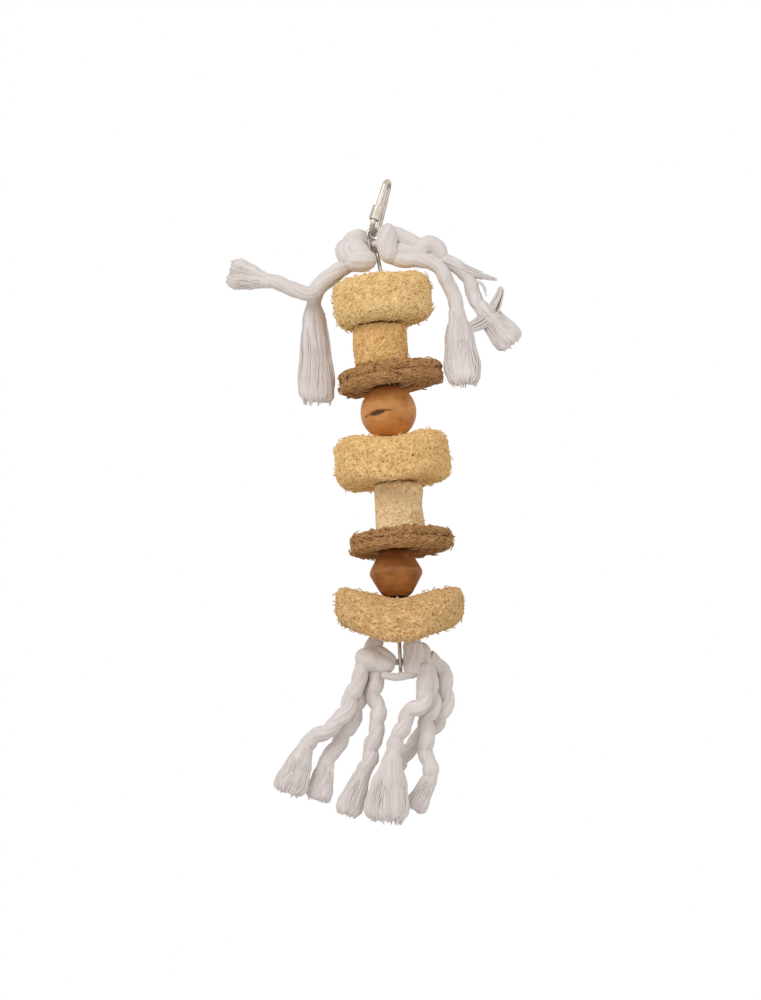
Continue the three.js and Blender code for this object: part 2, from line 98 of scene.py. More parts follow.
# White all round to the camera and in the metal, and an even, softer light on the object itself.
studio = bpy.data.worlds.new("studio")
bpy.context.scene.world = studio
studio.use_nodes = True
sky = studio.node_tree
sky.nodes.clear()
seen_by = add_node(sky, "ShaderNodeLightPath", {}).outputs
camera_or_gloss = add_node(sky, "ShaderNodeMath", {
    0: seen_by["Is Camera Ray"], 1: seen_by["Is Glossy Ray"]}, operation="MAXIMUM")
plain_white = add_node(sky, "ShaderNodeMath", {
    0: camera_or_gloss.outputs[0], 1: seen_by["Is Transmission Ray"]}, operation="MAXIMUM")
soft_light = add_node(sky, "ShaderNodeBackground", {"Color": linear("#ffffff"), "Strength": 0.62})
white_card = add_node(sky, "ShaderNodeBackground", {"Color": linear("#ffffff"), "Strength": 1})
sky_mix = add_node(sky, "ShaderNodeMixShader", {
    0: plain_white.outputs[0], 1: soft_light.outputs[0], 2: white_card.outputs[0]})
add_node(sky, "ShaderNodeOutputWorld", {"Surface": sky_mix.outputs[0]})

# Two soft boxes: a large one above the camera's left shoulder and a weaker one at the right.
for name, place, size, watts in (
    ("key_light", Vector((-0.9, -1.5, 0.9)), 1.1, 15),
    ("fill_light", Vector((1.4, -1.2, 0.1)), 1.0, 4),
):
    lamp = bpy.data.lights.new(name, "AREA")
    lamp.size = size
    lamp.energy = watts
    lamp_object = add_object(name, lamp)
    lamp_object.location = place
    lamp_object.rotation_mode = "QUATERNION"
    lamp_object.rotation_quaternion = (view_centre - place).to_track_quat("-Z", "Y")

floor_half = 6
floor_level = Matrix.Translation((0, 0, -1.4))
floor_bm = bmesh.new()
bmesh.ops.create_grid(floor_bm, x_segments=1, y_segments=1, size=floor_half, matrix=floor_level)
floor_mesh = bpy.data.meshes.new("floor")
floor_bm.to_mesh(floor_mesh)
floor_bm.free()
floor = add_object("floor", floor_mesh)
pale_paper = bpy.data.materials.new("pale_paper")
pale_paper.use_nodes = True
paper_shader = pale_paper.node_tree.nodes["Principled BSDF"]
paper_shader.inputs["Base Color"].default_value = linear("#f2f1ef")
paper_shader.inputs["Roughness"].default_value = 0.9
floor.data.materials.append(pale_paper)


# Quick link. A pear of round steel bar, bent narrow at the top where it hangs and wide at the bottom where
# it carries the chain, nickel plated. Its one open leg is closed by the sleeve nut.
bar = 3 * MM
pear_length = 31.6 * MM
pear_top_bend = 3.2 * MM
pear_bow = 5.4 * MM
pear_lean = math.radians(18)
pear_yaw = math.radians(-16)
mouth = 5 * MM
nut_length = 8 * MM
nut_across_flats = 5.2 * MM
running_gap = 0.3 * MM


def smooth_curve(name, route, resolution):
    """A curve that runs smoothly through the route's points."""
    curve = bpy.data.curves.new(name, "CURVE")
    curve.dimensions = "3D"
    spline = curve.splines.new("BEZIER")
    spline.bezier_points.add(len(route) - 1)
    spline.resolution_u = resolution
    for knot, place in zip(spline.bezier_points, route):
        knot.co = place
        knot.handle_left_type = "AUTO"
        knot.handle_right_type = "AUTO"
    return curve


def as_mesh(name, curve):
    """The curve's own surface, or its line if it has none, as a mesh."""
    shaper = add_object(name, curve)
    depsgraph = bpy.context.evaluated_depsgraph_get()
    mesh = bpy.data.meshes.new_from_object(shaper.evaluated_get(depsgraph))
    bpy.data.objects.remove(shaper)
    mesh.name = name
    return mesh


# Nickel plate: a warm grey metal, bright where it is smooth and a little duller where handling has worn it.
nickel = bpy.data.materials.new("nickel_plated_steel")
nickel.use_nodes = True
tree = nickel.node_tree
nickel_place = add_node(tree, "ShaderNodeTexCoord", {}).outputs["Object"]
scuffs = add_node(tree, "ShaderNodeTexNoise", {
    "Vector": nickel_place, "Scale": 1 / (3 * MM), "Detail": 3, "Roughness": 0.5})
nickel_tone = add_node(tree, "ShaderNodeValToRGB", {"Fac": scuffs.outputs["Fac"]})
nickel_tone.color_ramp.elements[0].position = 0.3
nickel_tone.color_ramp.elements[0].color = linear("#b8ada1")
nickel_tone.color_ramp.elements[1].position = 0.66
nickel_tone.color_ramp.elements[1].color = linear("#ccc2b6")
nickel_scuff = add_node(tree, "ShaderNodeMapRange", {
    "Value": scuffs.outputs["Fac"], "From Min": 0.3, "From Max": 0.7, "To Min": 0.34, "To Max": 0.42})
nickel_bump = add_node(tree, "ShaderNodeBump", {
    "Height": scuffs.outputs["Fac"], "Strength": 0.02, "Distance": 0.1 * MM})
nickel_shader = tree.nodes["Principled BSDF"]
nickel_shader.inputs["Metallic"].default_value = 1
tree.links.new(nickel_tone.outputs[0], nickel_shader.inputs["Base Color"])
tree.links.new(nickel_scuff.outputs[0], nickel_shader.inputs["Roughness"])
tree.links.new(nickel_bump.outputs[0], nickel_shader.inputs["Normal"])

top_centre = -(pear_top_bend - bar / 2)
pear_span = pear_length - bar - pear_top_bend - pear_bow
bow_centre = top_centre - pear_span
leg_slope = math.asin((pear_bow - pear_top_bend) / pear_span)


def bend(centre, radius, start, end, count):
    """Points of a bend in the link's own plane, with angles counted from +Y towards +Z."""
    turns = [start + (end - start) * index / count for index in range(count + 1)]
    return [Vector((0, radius * math.cos(turn), centre + radius * math.sin(turn))) for turn in turns]


leg_foot = bend(bow_centre, pear_bow, math.pi - leg_slope, math.pi, 1)[0]
leg_head = bend(top_centre, pear_top_bend, math.pi - leg_slope, math.pi, 1)[0]
leg_axis = (leg_head - leg_foot).normalized()
nut_foot = leg_foot + leg_axis * running_gap
mouth_foot = nut_foot + leg_axis * (nut_length - mouth) / 2
mouth_head = mouth_foot + leg_axis * mouth
pear_route = [mouth_foot, leg_foot]
pear_route += bend(bow_centre, pear_bow, math.pi - leg_slope + 0.2, 2 * math.pi + leg_slope, 16)
pear_route += bend(top_centre, pear_top_bend, leg_slope, math.pi - leg_slope, 12)
pear_route += [mouth_head]
pear_place = Matrix.Rotation(pear_lean, 4, "Y") @ Matrix.Rotation(pear_yaw, 4, "Z")

pear_curve = smooth_curve("quick_link_bar", pear_route, 6)
pear_curve.bevel_depth = bar / 2
pear_curve.bevel_resolution = 6
pear_curve.use_fill_caps = True
pear_mesh = as_mesh("quick_link_bar", pear_curve)
pear_mesh.transform(pear_place)
pear_mesh.shade_smooth()
quick_link = add_object("quick_link_bar", pear_mesh)
quick_link.data.materials.append(nickel)
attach(quick_link, "hanger")
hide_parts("quick_link")


# Sleeve nut. A short hexagon of plated steel, bored through, which screws along the open leg to close the
# link. Its corners are chamfered so that fingers can turn it.
nut_chamfer = 0.45 * MM
nut_corner = nut_across_flats / math.sqrt(3)
nut_wall = nut_corner * math.cos(math.pi / 6) - bar / 2 - running_gap / 2
nut_bm = bmesh.new()
bmesh.ops.create_cone(nut_bm, segments=6, cap_ends=True, radius1=nut_corner, radius2=nut_corner,
                      depth=nut_length, matrix=Matrix.Translation((0, 0, nut_length / 2)))
nut_ends = [face for face in nut_bm.faces if abs(face.normal.z) > 0.9]
bmesh.ops.inset_individual(nut_bm, faces=nut_ends, thickness=nut_wall)
nut_bores = [face for face in nut_bm.faces if len(face.verts) == 6]
bore_edges = [edge for face in nut_bores for edge in face.edges]
bmesh.ops.delete(nut_bm, geom=nut_bores, context="FACES_ONLY")
bmesh.ops.bridge_loops(nut_bm, edges=bore_edges)
chamfered = [edge for edge in nut_bm.edges if edge.calc_face_angle(0) > 0.9
             and edge.verts[0].co.xy.length > 0.95 * nut_corner]
bmesh.ops.bevel(
    nut_bm, geom=chamfered, offset=nut_chamfer, segments=3, profile=0.5, affect="EDGES", material=-1)
bmesh.ops.recalc_face_normals(nut_bm, faces=nut_bm.faces[:])
nut_turn = Vector((0, 0, 1)).rotation_difference(leg_axis).to_matrix().to_4x4()
nut_place = pear_place @ Matrix.Translation(nut_foot) @ nut_turn
bmesh.ops.transform(nut_bm, matrix=nut_place, verts=nut_bm.verts[:])
nut_mesh = bpy.data.meshes.new("sleeve_nut_hexagon")
nut_bm.to_mesh(nut_mesh)
nut_bm.free()
sleeve_nut = add_object("sleeve_nut_hexagon", nut_mesh)
sleeve_nut.data.materials.append(nickel)
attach(sleeve_nut, "nut")
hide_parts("sleeve_nut")


# Chain. Long links of round wire, bent and butt welded, each standing a quarter turn round from the next.
# The first two lean from the quick link to the straight run that the stack is threaded on, and the last
# one is longer, to hold the bottom rope clear of the stack.
wire = 2 * MM
eye_width = 4.2 * MM
eye_length = 12.9 * MM
end_eye_length = 18.3 * MM
link_count = 18
lead_links = 2
link_steps = 40
chain_lean = math.radians(-8)

for index in range(1, link_count + 1):
    node = f"chain_link_{index:02d}"
    link_bm = bmesh.new()
    wire_out = Matrix.Translation(((eye_width + wire) / 2, 0, 0))
    wire_place = Matrix.Rotation(math.pi / link_steps, 4, "Y") @ wire_out
    bmesh.ops.create_circle(link_bm, segments=16, radius=wire / 2, matrix=wire_place)
    bmesh.ops.spin(link_bm, geom=link_bm.verts[:] + link_bm.edges[:], axis=(0, 1, 0), cent=(0, 0, 0),
                   angle=2 * math.pi, steps=link_steps, use_merge=True)
    eye = end_eye_length if index == link_count else eye_length
    for end in (1, -1):
        half = [vert for vert in link_bm.verts if vert.co.z * end > 0]
        bmesh.ops.translate(link_bm, verts=half, vec=(0, 0, end * (eye - eye_width) / 2))
    bmesh.ops.remove_doubles(link_bm, verts=link_bm.verts[:], dist=1e-6)
    bmesh.ops.recalc_face_normals(link_bm, faces=link_bm.faces[:])
    low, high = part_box(node)
    place = Matrix.Translation((Vector(low) + Vector(high)) / 2)
    if index <= lead_links:
        place = place @ Matrix.Rotation(chain_lean, 4, "Y")
    if index % 2 == 0:
        place = place @ Matrix.Rotation(math.pi / 2, 4, "Z")
    bmesh.ops.transform(link_bm, matrix=place, verts=link_bm.verts[:])
    link_mesh = bpy.data.meshes.new(f"{node}_wire")
    link_bm.to_mesh(link_mesh)
    link_bm.free()
    link_mesh.shade_smooth()
    link = add_object(f"{node}_wire", link_mesh)
    link.data.materials.append(nickel)
    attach(link, "top_rope" if index == 1 else "chain")
    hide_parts(node)


# Loofah slices. Thick rings cut across a dried loofah gourd: a springy net of pale fibres round a darker,
# pithy middle, threaded on the chain through the gourd's own hollow. Loose fibre ends stand off the edges.
spin_joints = {joint["child"]: joint for joint in frame["record"]["behaviour"]["joints"]}
chain_hole = 5.6 * MM
dish_clearance = 1.2 * MM
dip_reach = 12 * MM
# How pale the loose fibres on top are painted, as if lit, through the rise that the fibre material reads.
painted_fibre_light = 0.75
stray_from = 0.4


def stack_place(body):
    """Where a threaded piece hangs: its middle on the chain, tilted with its spin axis."""
    joint = spin_joints[body]
    tilt = math.atan2(joint["axis"][0], joint["axis"][2])
    return Matrix.Translation(joint["pos_m"]) @ Matrix.Rotation(tilt, 4, "Y")


def dished(ball_reach, rim):
    """Points of a dish that a ball sits in, from the hole to its rim: the radius, and how deep it lies."""
    reach = ball_reach + dish_clearance
    radii = [chain_hole + (rim - chain_hole) * step / 4 for step in range(5)]
    level = math.sqrt(reach ** 2 - rim ** 2)
    return [(radius, math.sqrt(reach ** 2 - radius ** 2) - level) for radius in radii]


def divided(corners, spacing, least=1):
    """A closed outline's points, with each side cut into parts of about the given spacing."""
    outline = []
    for (r1, z1), (r2, z2) in zip(corners, corners[1:] + corners[:1]):
        parts = max(least, round(math.hypot(r2 - r1, z2 - z1) / spacing))
        outline += [(r1 + (r2 - r1) * part / parts, z1 + (z2 - z1) * part / parts) for part in range(parts)]
    return outline


def ring_outline(radius, height, edge, spacing, over=((chain_hole, 0),), under=((chain_hole, 0),)):
    """A ring's closed outline of (radius, height) points: bore, rounded edges, dishes over and under."""
    corners = [(out, -height / 2 + deep) for out, deep in under]
    for start, level in ((-math.pi / 2, -height / 2 + edge), (0, height / 2 - edge)):
        for step in range(7):
            turn = start + math.pi / 2 * step / 6
            corners.append((radius - edge + edge * math.cos(turn), level + edge * math.sin(turn)))
    corners += [(out, height / 2 - deep) for out, deep in reversed(over)]
    return divided(corners, spacing)


def spun(outline, steps):
    """A bmesh of an outline turned about Z."""
    bm = bmesh.new()
    ring = [bm.verts.new((radius, 0, height)) for radius, height in outline]
    edges = [bm.edges.new(pair) for pair in zip(ring, ring[1:] + ring[:1])]
    bmesh.ops.spin(bm, geom=ring + edges, axis=(0, 0, 1), cent=(0, 0, 0), angle=2 * math.pi,
                   steps=steps, use_merge=True)
    bmesh.ops.remove_doubles(bm, verts=bm.verts[:], dist=1e-6)
    bmesh.ops.recalc_face_normals(bm, faces=bm.faces[:])
    bm.normal_update()
    return bm


def netted(bm, lump, lump_size, relief, cell, bearing, seed):
    """Swells a ring in soft lumps and raises a net of fibres on it, pressed flat within its bearing."""
    shift = Vector((seed * 3.7, seed * 1.3, seed * 2.1))
    rise = bm.verts.layers.float.new("rise")
    moves = []
    for vert in bm.verts:
        swelling = lump * noise.noise(vert.co / lump_size + shift)
        # A coarse net whose strands wander, with a finer one in its meshes.
        loose = vert.co / (1.6 * cell)
        wander = Vector((noise.noise(loose + shift), noise.noise(loose - shift), 0))
        near = noise.voronoi(vert.co / cell + shift + 0.35 * wander)[0]
        fine = noise.voronoi(vert.co / (0.55 * cell) + shift)[0]
        coarse_ridge = max(0, 1 - (near[1] - near[0]) / 0.4)
        fine_ridge = max(0, 1 - (fine[1] - fine[0]) / 0.45)
        # The rise is kept on each point, and the fibre material paints the ring paler where it is high and
        # darker down in the net: painted light and shade.
        vert[rise] = min(1, 0.6 * coarse_ridge + 0.5 * fine_ridge)
        free = min(1, max(0.3, (vert.co.xy.length - bearing) / (2 * MM)))
        moves.append(vert.normal * (swelling + relief * (vert[rise] - 0.6)) * free)
    for vert, move in zip(bm.verts, moves):
        vert.co += move
    bm.normal_update()


def hung(bm, radius, offset, bend=0, droop=0, flat=0, dip=0):
    """Pushes a ring off its hole's middle, lifts its sides, droops its front and dips it under the ball."""
    top = max(vert.co.z for vert in bm.verts)
    for vert in bm.verts:
        out = vert.co.xy.length / radius
        drooping = max(0, -vert.co.y - flat) / (radius - flat)
        pressed = max(0, vert.co.z / top) * math.sqrt(max(0, -vert.co.y / radius))
        vert.co.z -= dip * pressed * math.exp(-(vert.co.x / dip_reach) ** 2)
        vert.co.z += bend * (vert.co.x / radius) ** 2 - droop * drooping ** 2
        vert.co.x += offset * out ** 3
    bm.normal_update()


def strands_mesh(name, lines, width, sides=1):
    """Thin round strands along the given lines of points, tapered towards their tips."""
    curve = bpy.data.curves.new(name, "CURVE")
    curve.dimensions = "3D"
    curve.bevel_depth = width / 2
    curve.bevel_resolution = sides
    curve.use_fill_caps = True
    for line in lines:
        spline = curve.splines.new("POLY")
        spline.points.add(len(line) - 1)
        for index, (corner, place) in enumerate(zip(spline.points, line)):
            corner.co = (*place, 1)
            corner.radius = 1 if index < len(line) - 1 else 0.6
    mesh = as_mesh(name, curve)
    mesh.shade_smooth()
    return mesh


def crept(bm, count, length, lift, bearing, seed, curl, grain, hold, stray, stray_lift):
    """Lines of fibres that creep over a ring outside its bearing. hold, to 1, keeps them along the grain."""
    draw = random.Random(seed)
    surface = BVHTree.FromBMesh(bm)
    faces = bm.faces[:]
    steps = 5
    lines = []
    outside = [f.calc_area() if f.calc_center_median().xy.length > bearing else 0 for f in faces]
    for face in draw.choices(faces, weights=outside, k=count):
        place = face.calc_center_median()
        normal = face.normal
        along = normal.orthogonal().normalized()
        along.rotate(Quaternion(normal, draw.uniform(0, 2 * math.pi)))
        steady = grain(place)
        along = along * (1 - hold) + steady * (hold if along.dot(steady) > 0 else -hold)
        step = length * draw.uniform(0.6, 1.3) / steps
        wild = draw.random() < stray
        bending = draw.uniform(-curl, curl)
        line = []
        for index in range(steps + 1):
            share = index / steps
            raised = lift * (0.15 + 0.85 * math.sin(math.pi * share)) * draw.uniform(0.7, 1.3)
            if wild and share > stray_from:
                raised += stray_lift * (share - stray_from) / (1 - stray_from)
            line.append(place + normal * raised)
            along.rotate(Quaternion(normal, bending + draw.uniform(-0.3, 0.3)))
            place, normal, _, _ = surface.find_nearest(place + along * step)
            along = (along - normal * along.dot(normal)).normalized()
        lines.append(line)
    return lines


def dry_fibre(name, pale, middle, dark, fleck):
    """Dry plant fibre: matt and flecked by age, painted paler on its raised strands and darker down in the
    net, as light and shade.
    """
    made = bpy.data.materials.new(name)
    made.use_nodes = True
    tree = made.node_tree
    place = add_node(tree, "ShaderNodeTexCoord", {}).outputs["Object"]
    patches = add_node(tree, "ShaderNodeTexNoise", {
        "Vector": place, "Scale": 1 / fleck, "Detail": 5, "Roughness": 0.7})
    # The rise of the relief lightens the colour on ridges and darkens it in hollows: painted light and
    # shade.
    height = add_node(tree, "ShaderNodeAttribute", {}, attribute_name="rise")
    painted_relief_shade = add_node(tree, "ShaderNodeMath", {
        0: height.outputs["Fac"], 1: 0.55, 2: -0.2}, operation="MULTIPLY_ADD")
    shade = add_node(tree, "ShaderNodeMath", {
        0: patches.outputs["Fac"], 1: painted_relief_shade.outputs[0]}, operation="ADD")
    tone = add_node(tree, "ShaderNodeValToRGB", {"Fac": shade.outputs[0]})
    tone.color_ramp.elements[0].position = 0.25
    tone.color_ramp.elements[0].color = linear(dark)
    tone.color_ramp.elements[1].position = 0.78
    tone.color_ramp.elements[1].color = linear(pale)
    between = tone.color_ramp.elements.new(0.5)
    between.color = linear(middle)
    bump = add_node(tree, "ShaderNodeBump", {
        "Height": patches.outputs["Fac"], "Strength": 0.4, "Distance": 0.3 * MM})
    shader = tree.nodes["Principled BSDF"]
    shader.inputs["Roughness"].default_value = 0.85
    shader.inputs["Specular IOR Level"].default_value = 0.25
    tree.links.new(tone.outputs[0], shader.inputs["Base Color"])
    tree.links.new(bump.outputs[0], shader.inputs["Normal"])
    return made


def net_piece(node, body, bm, lines, width, fibre):
    """A threaded piece of net: its closely netted body and the loose fibres over it, as one piece."""
    rise = bm.verts.layers.float["rise"]
    netted_count = len(bm.verts)
    fibres = strands_mesh(f"{node}_fibres", lines, width, sides=0)
    bm.from_mesh(fibres)
    bpy.data.meshes.remove(fibres)
    bm.verts.ensure_lookup_table()
    # The loose fibres on top take a high rise, so the material paints them paler: painted light.
    for index in range(netted_count, len(bm.verts)):
        bm.verts[index][rise] = painted_fibre_light
    bmesh.ops.transform(bm, matrix=stack_place(body), verts=bm.verts[:])
    mesh = bpy.data.meshes.new(f"{node}_net")
    bm.to_mesh(mesh)
    bm.free()
    mesh.shade_smooth()
    piece = add_object(f"{node}_net", mesh)
    piece.data.materials.append(fibre)
    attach(piece, body)
    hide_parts(node)


def upright(place):
    """The grain of loofah, whose fibres run up and down wherever they lie."""
    return Vector((0, 0, 1))


# Across, height and rounding, then the offset, bend, droop, flat and dip of its hang, the dish over it, how
# far its fibres keep upright, and its tones.
ball_dish = dished(ball_reach=14.55 * MM, rim=8 * MM)
ridged_dish = dished(ball_reach=14.1 * MM, rim=10 * MM)
plain_face = ((chain_hole, 0),)
bearing = 15 * MM
slices = (
    ("loofah_slice_top", "top_slice", (50.4, 23.4, 6), (0, 0, 0, 0, 0), plain_face, 0.3,
     ("#fadca0", "#eec486", "#c08a48")),
    ("loofah_slice_middle", "middle_slice", (59, 23.8, 6), (0.7, 0, 4.4, 16, 3.8), ball_dish, 0.55,
     ("#f8d596", "#e8b978", "#b98140")),
    ("loofah_slice_bottom", "bottom_slice", (66, 18.6, 6), (1, 4.5, 13.5, 0, 4), ridged_dish, 0.3,
     ("#ebc78f", "#d4a66c", "#a26d33")),
)
for number, (node, body, (across, tall, edge), hang, over, hold, tones) in enumerate(slices):
    radius = across / 2 * MM
    bm = spun(ring_outline(radius, tall * MM, edge * MM, spacing=0.62 * MM, over=over), steps=250)
    netted(bm, lump=0.9 * MM, lump_size=12 * MM, relief=1.1 * MM, cell=2.4 * MM, bearing=bearing,
           seed=number + 1)
    hung(bm, radius, *(size * MM for size in hang))
    lines = crept(bm, count=2200, length=4 * MM, lift=0.35 * MM, bearing=bearing, seed=node, curl=0.5,
                  grain=upright, hold=hold, stray=0.1, stray_lift=1.8 * MM)
    fibre = dry_fibre(f"{node}_fibre", *tones, fleck=3 * MM)
    net_piece(node, body, bm, lines, width=0.55 * MM, fibre=fibre)


# Loofah tubes. Short lengths of thin, straight loofah, cut square, whose fibres run mostly up and down with
# finer ones wound across them. They hold the slices and the discs apart, with a hair of slack at each end.
end_slack = 0.45 * MM
tubes = (
    ("loofah_tube_top", "top_tube", 27.5, 21.4, -2.2, ("#f6cf8f", "#e6b671", "#b57a3a")),
    ("loofah_tube_middle", "middle_tube", 24.5, 25.8, 2.9, ("#ffe6b8", "#f8d29c", "#d6a462")),
)
for number, (node, body, across, tall, offset, tones) in enumerate(tubes):
    radius = across / 2 * MM
    cut_end = radius - 2 * MM
    outline = ring_outline(radius, tall * MM - 2 * end_slack, edge=1.5 * MM, spacing=0.6 * MM)
    bm = spun(outline, steps=140)
    netted(bm, lump=0.5 * MM, lump_size=9 * MM, relief=0.7 * MM, cell=2 * MM, bearing=cut_end,
           seed=number + 5)
    hung(bm, radius, offset * MM)
    lines = crept(bm, count=600, length=5 * MM, lift=0.35 * MM, bearing=cut_end, seed=node, curl=0.4,
                  grain=upright, hold=0.5, stray=0.05, stray_lift=1.2 * MM)
    fibre = dry_fibre(f"{node}_fibre", *tones, fleck=3 * MM)
    net_piece(node, body, bm, lines, width=0.5 * MM, fibre=fibre)


# Fibre discs. Round pads of coarse brown fibre, pressed in layers and cut out with a punch, so the rim shows
# the layers edge on and frays into short whiskers.
def round_about(place):
    """The grain of a disc, whose fibres run round it."""
    return Vector((-place.y, place.x, 0)).normalized()


discs = (
    ("fibre_disc_top", "top_disc", 53, 8.8, 2.2, ball_dish),
    ("fibre_disc_middle", "middle_disc", 52, 8.2, 3.6, ridged_dish),
)
disc_layers = 2
layer_gap = 3 * MM
rim_width = 2.5 * MM
painted_gap_shade = 1.1
for number, (node, body, across, tall, offset, under) in enumerate(discs):
    radius = across / 2 * MM
    bm = spun(ring_outline(radius, tall * MM, edge=1.8 * MM, spacing=0.55 * MM, under=under), steps=240)
    sunk = []
    for vert in bm.verts:
        out = vert.co.xy.length
        at_rim = out > radius - rim_width and abs(vert.co.z) < tall * MM / 4
        layer_turn = math.pi * disc_layers * abs(vert.co.z) / (tall * MM)
        sunk.append((1 - math.sin(layer_turn)) ** 2.5 if at_rim else 0)
        vert.co.xy *= 1 - sunk[-1] * layer_gap / out
    bm.normal_update()
    netted(bm, lump=0.4 * MM, lump_size=8 * MM, relief=0.8 * MM, cell=2 * MM, bearing=bearing,
           seed=number + 9)
    # The rise is lowered in the gaps between the rim's layers, so the fibre material paints shade down in
    # them.
    rise = bm.verts.layers.float["rise"]
    for vert, share in zip(bm.verts, sunk):
        vert[rise] -= painted_gap_shade * share
    hung(bm, radius, offset * MM)
    lines = crept(bm, count=1400, length=10 * MM, lift=0.45 * MM, bearing=bearing, seed=node, curl=0.2,
                  grain=round_about, hold=0.8, stray=0.08, stray_lift=1.8 * MM)
    coir = dry_fibre(f"{node}_fibre", "#c69864", "#8f6439", "#442816", fleck=2.5 * MM)
    net_piece(node, body, bm, lines, width=0.8 * MM, fibre=coir)


# Balls. Hard round seed pods, bored through for the chain and left with a dull natural polish. The upper one
# is a smooth ball with an old split in its front, and the lower one rises to a ridge round its middle.
def pod_material(name, light, mid, deep, split_shade):
    """Dry seed pod: a close, waxy brown with cloudy patches and fine growth lines, with painted shade down
    in its split.
    """
    made = bpy.data.materials.new(name)
    made.use_nodes = True
    tree = made.node_tree
    place = add_node(tree, "ShaderNodeTexCoord", {}).outputs["Object"]
    clouds = add_node(tree, "ShaderNodeTexNoise", {
        "Vector": place, "Scale": 1 / (9 * MM), "Detail": 4, "Roughness": 0.55})
    line_map = add_node(tree, "ShaderNodeMapping", {
        "Vector": place, "Scale": (1 / (7 * MM), 1 / (7 * MM), 1 / (0.9 * MM))})
    growth = add_node(tree, "ShaderNodeTexNoise", {
        "Vector": line_map.outputs[0], "Scale": 1, "Detail": 3, "Roughness": 0.6})
    blend = add_node(tree, "ShaderNodeMix", {
        0: 0.35, 2: clouds.outputs["Fac"], 3: growth.outputs["Fac"]}, data_type="FLOAT")
    tone = add_node(tree, "ShaderNodeValToRGB", {"Fac": blend.outputs[0]})
    tone.color_ramp.elements[0].position = 0.3
    tone.color_ramp.elements[0].color = linear(deep)
    tone.color_ramp.elements[1].position = 0.7
    tone.color_ramp.elements[1].color = linear(light)
    between = tone.color_ramp.elements.new(0.5)
    between.color = linear(mid)
    hollow = add_node(tree, "ShaderNodeAttribute", {}, attribute_name="hollow")
    colour = add_node(tree, "ShaderNodeMix", {
        0: hollow.outputs["Fac"], 6: tone.outputs[0], 7: linear(split_shade)}, data_type="RGBA")
    rough = add_node(tree, "ShaderNodeMapRange", {
        "Value": clouds.outputs["Fac"], "From Min": 0.3, "From Max": 0.7, "To Min": 0.42, "To Max": 0.58})
    bump = add_node(tree, "ShaderNodeBump", {
        "Height": growth.outputs["Fac"], "Strength": 0.12, "Distance": 0.2 * MM})
    shader = tree.nodes["Principled BSDF"]
    shader.inputs["Specular IOR Level"].default_value = 0.4
    tree.links.new(colour.outputs[2], shader.inputs["Base Color"])
    tree.links.new(rough.outputs[0], shader.inputs["Roughness"])
    tree.links.new(bump.outputs[0], shader.inputs["Normal"])
    return made


def pod(node, body, outline, splits, material):
    """A bored pod turned from an outline. Each split is a line of points sunk into its surface."""
    bm = spun(outline, steps=160)
    hollow = bm.verts.layers.float.new("hollow")
    for vert in bm.verts:
        wave = 0.12 * MM * noise.noise(vert.co / (6 * MM))
        sunk = 0
        for start, end, half_width, depth in splits:
            run = end - start
            share = min(1, max(0, (vert.co - start).dot(run) / run.length_squared))
            reach = half_width * (0.35 + 0.65 * math.sin(math.pi * share))
            gap = (vert.co - start - run * share).length
            sunk = max(sunk, depth * max(0, 1 - (gap / reach) ** 2))
            # Points near a split's line are counted as hollow, and the material paints them dark there:
            # painted shade in the split.
            vert[hollow] = max(vert[hollow], min(1, 1.6 * max(0, 1 - gap / reach)))
        vert.co += vert.normal * (wave - sunk)
    bmesh.ops.transform(bm, matrix=stack_place(body), verts=bm.verts[:])
    mesh = bpy.data.meshes.new(f"{node}_pod")
    bm.to_mesh(mesh)
    bm.free()
    mesh.shade_smooth()
    piece = add_object(f"{node}_pod", mesh)
    piece.data.materials.append(material)
    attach(piece, body)
    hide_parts(node)


ball = 29.1 * MM
ball_rings = 72
from_pole = math.asin(2 * chain_hole / ball)
ball_outline = []
for ring in range(ball_rings + 1):
    turn = from_pole + (math.pi - 2 * from_pole) * ring / ball_rings
    ball_outline.append((ball / 2 * math.sin(turn), -ball / 2 * math.cos(turn)))


def on_ball(right, up):
    """A point on the ball's front, from millimetres right of and above its middle."""
    return Vector((right, -math.sqrt((ball / 2 / MM) ** 2 - right ** 2 - up ** 2), up)) * MM


# Each stretch of the split: its two ends, its half width and its depth.
ball_splits = [
    (on_ball(-12.2, -3.6), on_ball(-6, -0.8), 1.1 * MM, 1 * MM),
    (on_ball(-9.6, -2.8), on_ball(-2.4, -1.8), 2 * MM, 1.5 * MM),
    (on_ball(-6, -1), on_ball(1.6, -1.4), 1 * MM, 0.9 * MM),
    (on_ball(0.5, -1.4), on_ball(11, 0.8), 0.4 * MM, 0.25 * MM),
]
amber_pod = pod_material("amber_seed_pod", "#e2a161", "#cf8d4b", "#ae7039", "#4a2a16")
pod("round_ball", "upper_ball", ball_outline, ball_splits, amber_pod)

ridge_corners = [(5.6, 12.9), (8.15, 10.7), (10.35, 7.1), (12.9, 2.4), (13.7, 0.8)]
ridge_corners += [(radius, -height) for radius, height in reversed(ridge_corners)]
ridge_spacing = 0.5
ridge_outline = [(radius * MM, height * MM)
                 for radius, height in divided(ridge_corners[::-1], ridge_spacing, least=2)]
umber_pod = pod_material("umber_seed_pod", "#bd7c3f", "#9e632e", "#7a481f", "#4a2a16")
pod("bevelled_ball", "lower_ball", ridge_outline, [], umber_pod)


# Rope knots. Soft cotton rope is pulled through the chain's top and bottom links and knotted on itself. The
# thick rolls are its turns, pressed round and soft against each other, with the yarns showing along them.
rope_diameter = 7.2 * MM
knot_lay = 110 * MM
to_free_eye = Vector((0.16, 0, -1.14)) * MM
yarns_round = 9
corners_a_yarn = 5
yarn_groove = 0.06
ply_lay = 130 * MM
